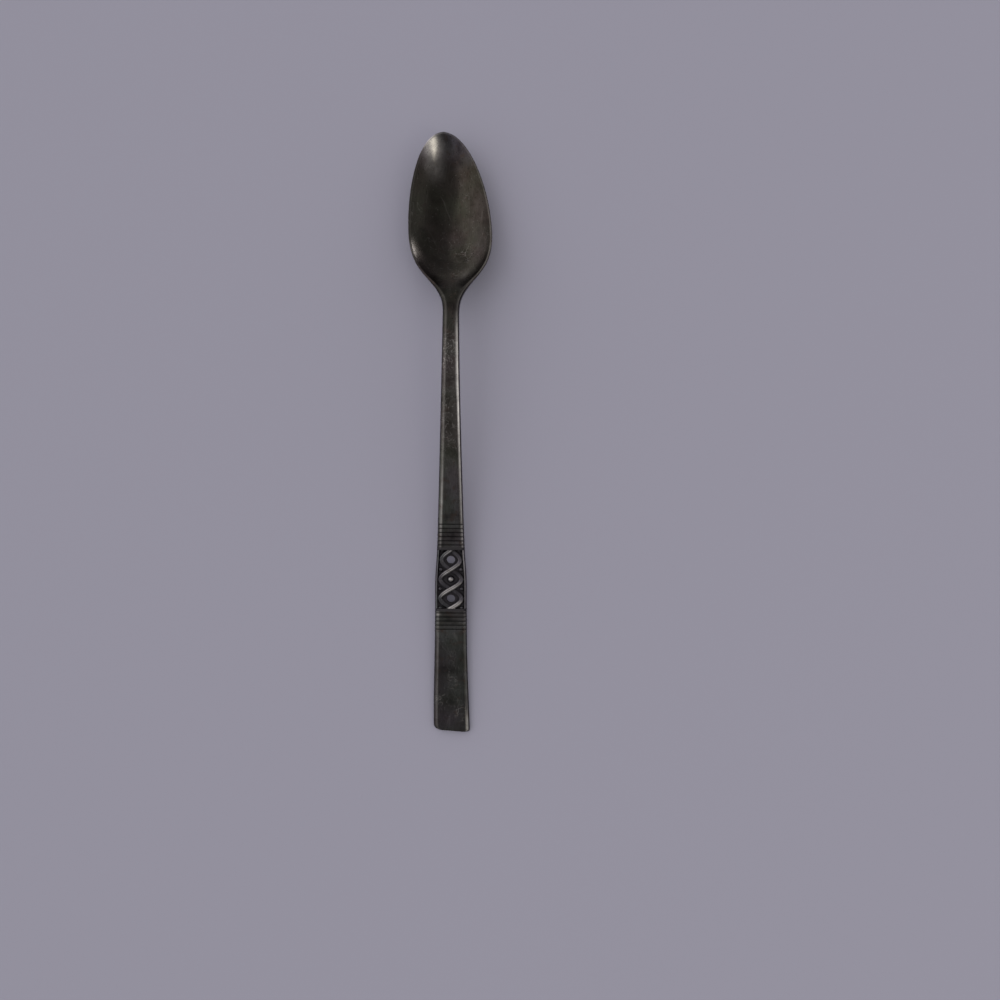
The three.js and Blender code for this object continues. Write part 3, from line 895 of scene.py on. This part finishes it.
# Relief of each pattern, and the bump that it makes
GRAIN_RELIEF = 0.25
FILM_RELIEF = 0.8
CUT_RELIEF = 0.05
PIT_RELIEF = 0.5
BUMP_STRENGTH = 0.22
BUMP_DISTANCE = 0.0001

# Colours of the layers
BARE = (0.78, 0.73, 0.7, 1)
SOOT = (0.0045, 0.0042, 0.0045, 1)
PANEL_SOOT = (0.027, 0.0246, 0.0277, 1)
RUST_BROWN = (0.039, 0.028, 0.024, 1)
# The black film also paints a dark reflection over the left of the bowl
BLACK_FILM_AND_DARK_REFLECTION = (0.0115, 0.0105, 0.01, 1)
SILVER_FILM = [
    (0.3, (0.0166, 0.0147, 0.0134)),
    (0.46, (0.0408, 0.0373, 0.033)),
    (0.6, (0.056, 0.0523, 0.0482)),
    (0.75, (0.034, 0.031, 0.0285)),
]
PANEL_FILM = [
    (0.3, (0.027, 0.0255, 0.0255)),
    (0.5, (0.064, 0.061, 0.0595)),
    (0.7, (0.094, 0.089, 0.0865)),
]
TINT_STOPS = [(0.38, (0.94, 1.0, 0.87)), (0.5, (1.0, 0.97, 0.94)), (0.62, (1.07, 0.94, 0.99))]

# Tone multiplied into the colour along the spoon: much darker by the neck, bluish at the tip
END_TONE = (0.79, 0.83, 0.98)
FOOT_TONE = (0.96, 1.05, 1.18)
STEM_TONE = (0.82, 0.83, 0.87)
NECK_TONE = (0.38, 0.38, 0.38)
SHOULDER_TONE = (0.77, 0.69, 0.73)
BOWL_TONE = (0.77, 0.77, 0.71)
CROWN_TONE = (0.69, 0.68, 0.59)
TIP_TONE = (1.15, 1.13, 1.6)
TONE_STOPS = [
    (Y_LOWER - 3, END_TONE),
    (Y_LOWER + 1, FOOT_TONE),
    (Y_STEM + 9, FOOT_TONE),
    (Y_STEM + 24, STEM_TONE),
    (Y_NECK - 13, STEM_TONE),
    (Y_NECK + 4, NECK_TONE),
    (Y_NECK + 9, SHOULDER_TONE),
    (Y_WIDEST + 8, BOWL_TONE),
    (Y_TIP - 11, CROWN_TONE),
    (Y_TIP - 1, TIP_TONE),
]


# Materials
def wandering_lines(tree, place, scale, width):
    """Thin lines where a noise passes its middle value."""
    wander = noise(tree, place, scale, LINE_DETAIL, LINE_ROUGHNESS)
    from_middle = calculate(tree, "SUBTRACT", wander, NOISE_MIDDLE)
    return band(tree, calculate(tree, "ABSOLUTE", from_middle), width, 0.0)


def scratches(tree, place, angle, across, along, width):
    """Thin broken lines that run along one direction."""
    line = wandering_lines(tree, stretched(tree, place, angle, across, along), 1.0, width)
    breaks = noise(tree, place, across / 2, LINE_DETAIL, BREAK_ROUGHNESS)
    return multiply(tree, line, band(tree, breaks, *BREAK_RANGE))


def silver_patterns(tree, place, scuff):
    """Patterns in the surface: film, stains, grain, pits, specks, scratches and scuffed scribble."""
    stain = noise(tree, place, *STAIN_NOISE)
    cells = add_node(tree, "ShaderNodeTexVoronoi", {"Vector": place, "Scale": SPOT_SCALE}).outputs
    chance = add_node(tree, "ShaderNodeSeparateColor", {"Color": cells["Color"]}).outputs
    spot = band(tree, cells["Distance"], *SPOT_EDGE)
    long_scratches = scratches(tree, place, *LONG_SCRATCHES)
    slant_scratches = scratches(tree, place, *SLANT_SCRATCHES)
    scribble = wandering_lines(tree, place, SCRIBBLE_SCALE, SCRIBBLE_WIDTH)
    scribble = multiply(tree, scribble, band(tree, stain, *SCRIBBLE_RANGE))
    return {
        "film": noise(tree, place, *FILM_NOISE),
        "stain": stain,
        "grain": noise(tree, stretched(tree, place, *GRAIN_RUN), *GRAIN_NOISE),
        "pits": multiply(tree, spot, band(tree, chance["Red"], *PIT_CHANCE)),
        "specks": multiply(tree, spot, band(tree, chance["Green"], *SPECK_CHANCE)),
        "scratches": calculate(tree, "MAXIMUM", long_scratches, slant_scratches),
        "scribble": multiply(tree, scribble, scuff),
    }


def tone_along(tree, place):
    """Tone multiplied into the colour, by the distance along the spoon."""
    length = (Y_TIP - Y_END) * MM
    distance = add_node(tree, "ShaderNodeSeparateXYZ", {"Vector": place}).outputs["Y"]
    along = calculate(tree, "DIVIDE", calculate(tree, "SUBTRACT", distance, ORIGIN[1]), length)
    return colour_ramp(tree, along, [(y * MM / length, tone) for y, tone in TONE_STOPS])


def silver_colour(tree, place, marks, patterns, film_stops, recess):
    """Colour of the silver, layer on layer: tarnish, stains, film with a painted dark reflection,
    scratches, bare metal with painted highlights, pits, soot.
    """
    colour = colour_ramp(tree, patterns["film"], film_stops)
    tint = colour_ramp(tree, noise(tree, place, *TINT_NOISE), TINT_STOPS)
    colour = mix(tree, 1.0, colour, tint, "MULTIPLY")
    colour = mix(tree, 1.0, colour, tone_along(tree, place), "MULTIPLY")
    bare_and_sheen = multiply(tree, marks["wear_and_sheen"], band(tree, patterns["stain"], *BARE_COVER))
    layers = [
        (band(tree, patterns["stain"], *STAIN_COVER), RUST_BROWN),
        # The film layer is tarnish, and a painted dark reflection on the left of the bowl
        (band(tree, marks["film"], *FILM_AND_DARK_REFLECTION_COVER), BLACK_FILM_AND_DARK_REFLECTION),
        (band(tree, patterns["grain"], *GRAIN_COVER), BLACK_FILM_AND_DARK_REFLECTION),
        (multiply(tree, patterns["specks"], SPECK_COVER), BARE),
        (multiply(tree, patterns["scratches"], SCRATCH_COVER), BARE),
        (multiply(tree, patterns["scribble"], SCRIBBLE_COVER), BARE),
        (bare_and_sheen, BARE),
        (multiply(tree, patterns["pits"], PIT_COVER), SOOT),
        (marks["soot"], recess),
    ]
    for cover, layer_colour in layers:
        colour = mix(tree, cover, colour, layer_colour)
    return colour


def silver_roughness(tree, marks, patterns):
    """Roughness of the silver: satin, and duller in pits and soot."""
    roughness = band(tree, patterns["film"], *FILM_GLOSS)
    roughness = calculate(tree, "ADD", roughness, multiply(tree, patterns["pits"], PIT_DULLNESS))
    return calculate(tree, "ADD", roughness, multiply(tree, marks["soot"], SOOT_DULLNESS))


def silver_bump(tree, patterns):
    """Fine relief of the silver: grain and film stand up, scratches and pits are cut in."""
    grain = multiply(tree, patterns["grain"], GRAIN_RELIEF)
    height = calculate(tree, "ADD", grain, multiply(tree, patterns["film"], FILM_RELIEF))
    cuts = calculate(tree, "MAXIMUM", patterns["scratches"], patterns["scribble"])
    height = calculate(tree, "SUBTRACT", height, multiply(tree, cuts, CUT_RELIEF))
    height = calculate(tree, "SUBTRACT", height, multiply(tree, patterns["pits"], PIT_RELIEF))
    inputs = {"Height": height, "Strength": BUMP_STRENGTH, "Distance": BUMP_DISTANCE}
    return add_node(tree, "ShaderNodeBump", inputs).outputs["Normal"]


def silver(name, film_stops, recess):
    """Tarnished silver plate, with the colours of its film and of the soot in its recesses."""
    material = bpy.data.materials.new(name)
    material.use_nodes = True
    tree = material.node_tree
    shader = tree.nodes["Principled BSDF"].inputs
    shader["Metallic"].default_value = 1.0
    place = add_node(tree, "ShaderNodeTexCoord", {}).outputs["Object"]
    marks = {}
    # Of these attributes, the first holds rubbed metal with painted highlights, and the third tarnish with
    # a painted dark reflection on the left of the bowl
    for mark in ("wear_and_sheen", "soot", "film", "scuff"):
        marks[mark] = add_node(tree, "ShaderNodeAttribute", {}, attribute_name=mark).outputs["Fac"]
    patterns = silver_patterns(tree, place, marks["scuff"])
    colour = silver_colour(tree, place, marks, patterns, film_stops, recess)
    tree.links.new(colour, shader["Base Color"])
    tree.links.new(silver_roughness(tree, marks, patterns), shader["Roughness"])
    tree.links.new(silver_bump(tree, patterns), shader["Normal"])
    return material


SILVER = silver("silver_plate", SILVER_FILM, SOOT)
OXIDISED = silver("oxidised_silver", PANEL_FILM, PANEL_SOOT)


# Pieces
def finish_piece(piece, material, node):
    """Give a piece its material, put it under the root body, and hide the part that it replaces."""
    piece.data.materials.append(material)
    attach(piece, "root")
    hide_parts(node)


def collar_stations(start, stop, grooves):
    """Rows along a collar, alike on each of its grooves."""
    return np.linspace(start, stop, 1 + GROOVE_ROWS * grooves)


corner = max(LEFT_CORNER, RIGHT_CORNER)
corner_stations = corner * (1 - np.cos(np.linspace(0, np.pi / 2, CORNER_ROWS)))
plain_stations = np.linspace(corner, Y_LOWER, END_ROWS)[1:]

flat_end = handle_piece("flat_end", np.concatenate([corner_stations, plain_stations]))
lower_reeds = handle_piece("lower_reeds", collar_stations(Y_LOWER, Y_PANEL, LOWER_GROOVES))
openwork_panel = panel_piece("openwork_panel")
upper_reeds = handle_piece("upper_reeds", collar_stations(Y_UPPER, Y_STEM, UPPER_GROOVES))
tapered_stem = handle_piece("tapered_stem", np.linspace(Y_STEM, Y_NECK, STEM_ROWS))
spoon_bowl = bowl_piece("spoon_bowl")

finish_piece(flat_end, SILVER, "handle_end")
finish_piece(lower_reeds, SILVER, "lower_reeded_collar")
finish_piece(openwork_panel, OXIDISED, "pierced_panel")
finish_piece(upper_reeds, SILVER, "upper_reeded_collar")
finish_piece(tapered_stem, SILVER, "stem")
finish_piece(spoon_bowl, SILVER, "bowl")

# Floor, in metres
FLOOR_SIZE = 1.5
FLOOR_COLOUR = (0.317, 0.304, 0.372, 1)
FLOOR_ROUGHNESS = 0.9
FLOOR_SPECULAR = 0.1

# Level of the soft light by direction, from the left (0) to the right (1),
# and its share from the handle's end (0) to the tip (1)
SKY_LEVEL = 1.7
SIDEWAYS_SKY = [
    (0.0, 1.0),
    (0.255, 1.0),
    (0.315, 0.58),
    (0.47, 0.555),
    (0.65, 0.34),
    (0.84, 0.36),
    (0.94, 0.8),
    (1.0, 0.8),
]
LENGTHWAYS_SKY = [
    (0.0, 0.5),
    (0.22, 0.5),
    (0.335, 0.8),
    (0.43, 0.92),
    (0.55, 0.95),
    (1.0, 1.0),
]

# Lamps, turned to the middle of the spoon: place and size in metres, and power in watts
KEY_PLACE = (0.79, -0.737, 1.042)
KEY_SIZE = (0.55, 0.55)
KEY_POWER = 1.6
KEY_COLOUR = (1.0, 0.98, 0.83)
WINDOW_PLACE = (1.001, 1.112, 0.035)
WINDOW_SIZE = (0.4, 0.06)
WINDOW_POWER = 1.2
WINDOW_COLOUR = (1.0, 0.97, 0.95)

# The camera looks straight down; its place is in millimetres from the middle of the handle's end
CAMERA_PLACE = (15.36, 73.64, 250.28)
CAMERA_TURN = 0.0068
FOCAL_PIXELS = 780
IMAGE_PIXELS = 1000
SENSOR = 36.0
CLIP_START = 0.01


# Stage
def add_floor():
    half = FLOOR_SIZE / 2
    corners = [(-half, -half, 0), (half, -half, 0), (half, half, 0), (-half, half, 0)]
    mesh = bpy.data.meshes.new("floor")
    mesh.from_pydata(corners, [], [(0, 1, 2, 3)])
    floor = bpy.data.objects.new("floor", mesh)
    bpy.context.scene.collection.objects.link(floor)
    material = bpy.data.materials.new("floor")
    material.use_nodes = True
    shader = material.node_tree.nodes["Principled BSDF"].inputs
    shader["Base Color"].default_value = FLOOR_COLOUR
    shader["Roughness"].default_value = FLOOR_ROUGHNESS
    shader["Specular IOR Level"].default_value = FLOOR_SPECULAR
    mesh.materials.append(material)


def add_world():
    """Soft light all round, paler on the left and towards the tip."""
    world = bpy.data.worlds.new("studio")
    world.use_nodes = True
    tree = world.node_tree
    direction = add_node(tree, "ShaderNodeTexCoord", {}).outputs["Generated"]
    towards = add_node(tree, "ShaderNodeSeparateXYZ", {"Vector": direction}).outputs
    levels = []
    for axis, sky in (("X", SIDEWAYS_SKY), ("Y", LENGTHWAYS_SKY)):
        # A direction's part along an axis goes from -1 to 1, and a ramp from 0 to 1
        position = calculate(tree, "MULTIPLY_ADD", towards[axis], 0.5, 0.5)
        stops = [(stop, (level, level, level)) for stop, level in sky]
        levels.append(colour_ramp(tree, position, stops))
    background = tree.nodes["Background"].inputs
    background["Strength"].default_value = SKY_LEVEL
    tree.links.new(multiply(tree, *levels), background["Color"])
    bpy.context.scene.world = world


def add_lamp(name, place, size, power, colour):
    light = bpy.data.lights.new(name, "AREA")
    light.shape = "RECTANGLE"
    light.size, light.size_y = size
    light.energy = power
    light.color = colour
    lamp = bpy.data.objects.new(name, light)
    lamp.location = place
    lamp.rotation_euler = (-Vector(place)).to_track_quat("-Z", "Y").to_euler()
    lamp.visible_camera = False
    bpy.context.scene.collection.objects.link(lamp)


def add_camera():
    camera = bpy.data.cameras.new("camera")
    camera.sensor_width = SENSOR
    camera.lens = FOCAL_PIXELS * SENSOR / IMAGE_PIXELS
    camera.clip_start = CLIP_START
    viewer = bpy.data.objects.new("camera", camera)
    viewer.location = Vector(ORIGIN) + Vector(CAMERA_PLACE) * MM
    viewer.rotation_euler = (0, 0, CAMERA_TURN)
    bpy.context.scene.collection.objects.link(viewer)
    bpy.context.scene.camera = viewer


add_floor()
add_world()
add_lamp("key", KEY_PLACE, KEY_SIZE, KEY_POWER, KEY_COLOUR)
add_lamp("window", WINDOW_PLACE, WINDOW_SIZE, WINDOW_POWER, WINDOW_COLOUR)
add_camera()
bpy.context.scene.view_settings.view_transform = "Standard"
